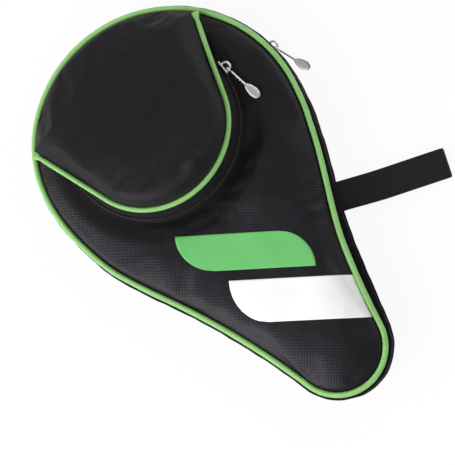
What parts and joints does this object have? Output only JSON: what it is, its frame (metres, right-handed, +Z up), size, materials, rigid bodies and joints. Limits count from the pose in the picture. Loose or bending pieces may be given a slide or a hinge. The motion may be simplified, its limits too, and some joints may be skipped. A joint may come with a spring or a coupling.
{
  "type": "table tennis bat case",
  "caption": "Gourd-shaped padded soft case for one table tennis bat, opening on a cloth hinge round a zip, with a domed zipped ball pocket and a hand strap.",
  "frame": {"origin": "on the floor, under the centre of the round head, where the flat back rests", "axes": "+Y from the handle end to the head, +X to the hand strap's side seen from the front, +Z up out of the front"},
  "size_m": [0.2294, 0.299, 0.0754],
  "materials": {
    "black_cloth": "woven ripstop, slightly glossy",
    "black_lining": "plain woven",
    "black_foam": "closed-cell padding",
    "black_webbing": "ribbed webbing and tape",
    "black_coil": "nylon coil",
    "green_piping": "corded piping, satin",
    "green_film": "heat-pressed film",
    "white_film": "heat-pressed film",
    "nickel": "bright nickel plating"
  },
  "bodies": {
    "back_half": {"back_panel": "black_cloth", "back_foam": "black_foam", "back_lining": "black_lining", "back_gusset": "black_cloth", "back_piping": "black_cloth", "back_binding": "black_webbing", "zip_tape_back": "black_webbing", "zip_coil_back": "black_coil", "hinge_strip": "black_cloth"},
    "front_half": {"front_panel": "black_cloth", "front_foam": "black_foam", "front_lining": "black_lining", "front_gusset": "black_cloth", "front_piping": "green_piping", "front_binding": "black_webbing", "zip_tape_front": "black_webbing", "zip_coil_front": "black_coil", "green_stripe": "green_film", "white_stripe": "white_film", "pocket_crown": "black_cloth", "pocket_tape_lower": "black_webbing", "pocket_coil_lower": "black_coil", "pocket_gore_right": "black_cloth", "pocket_gore_left": "black_cloth"},
    "pocket_flap": {"pocket_cover": "black_cloth", "pocket_piping": "green_piping", "pocket_tape_upper": "black_webbing", "pocket_coil_upper": "black_coil"},
    "main_zip_slider": {"main_slider": "nickel"},
    "main_zip_pull": {"main_pull": "nickel"},
    "pocket_zip_slider": {"pocket_slider": "nickel"},
    "pocket_zip_pull": {"pocket_pull": "nickel"},
    "wrist_strap": {"hand_strap": "black_webbing"}
  },
  "joints": [
    {"name": "lid_open", "type": "hinge", "parent": "back_half", "child": "front_half", "pos_m": [0.08867, -0.03409, 0.015], "axis": [0.3588, 0.9334, 0], "range_deg": [0, 100], "deforming": ["hinge_strip"]},
    {"name": "pocket_open", "type": "hinge", "parent": "front_half", "child": "pocket_flap", "pos_m": [0, 0.05572, 0.0323], "axis": [-1, 0, 0], "range_deg": [0, 45], "deforming": ["pocket_crown", "pocket_gore_right", "pocket_gore_left"]},
    {"name": "main_slider_travel", "type": "hinge", "parent": "back_half", "child": "main_zip_slider", "pos_m": [0, 0, 0.015], "axis": [0, 0, 1], "range_deg": [0, 200]},
    {"name": "main_pull_swing", "type": "hinge", "parent": "main_zip_slider", "child": "main_zip_pull", "pos_m": [0.09551, 0.00534, 0.015], "axis": [-0.9962, -0.0872, 0], "range_deg": [0, 150]},
    {"name": "pocket_slider_travel", "type": "hinge", "parent": "front_half", "child": "pocket_zip_slider", "pos_m": [0, 0.01588, 0.0369], "axis": [0, -0.0698, -0.9976], "range_deg": [0, 160]},
    {"name": "pocket_pull_swing", "type": "hinge", "parent": "pocket_zip_slider", "child": "pocket_zip_pull", "pos_m": [0.06344, 0.01068, 0.03726], "axis": [-0.9994, 0.0348, -0.0024], "range_deg": [0, 150]},
    {"name": "strap_swing", "type": "hinge", "parent": "back_half", "child": "wrist_strap", "pos_m": [0.05716, -0.09364, 0.015], "axis": [0.3846, 0.9231, 0], "range_deg": [-50, 8]}
  ],
  "couplings": [
    {"joint": "main_slider_travel", "follows": "lid_open", "ratio": 2},
    {"joint": "pocket_slider_travel", "follows": "pocket_open", "ratio": 3.5556}
  ]
}
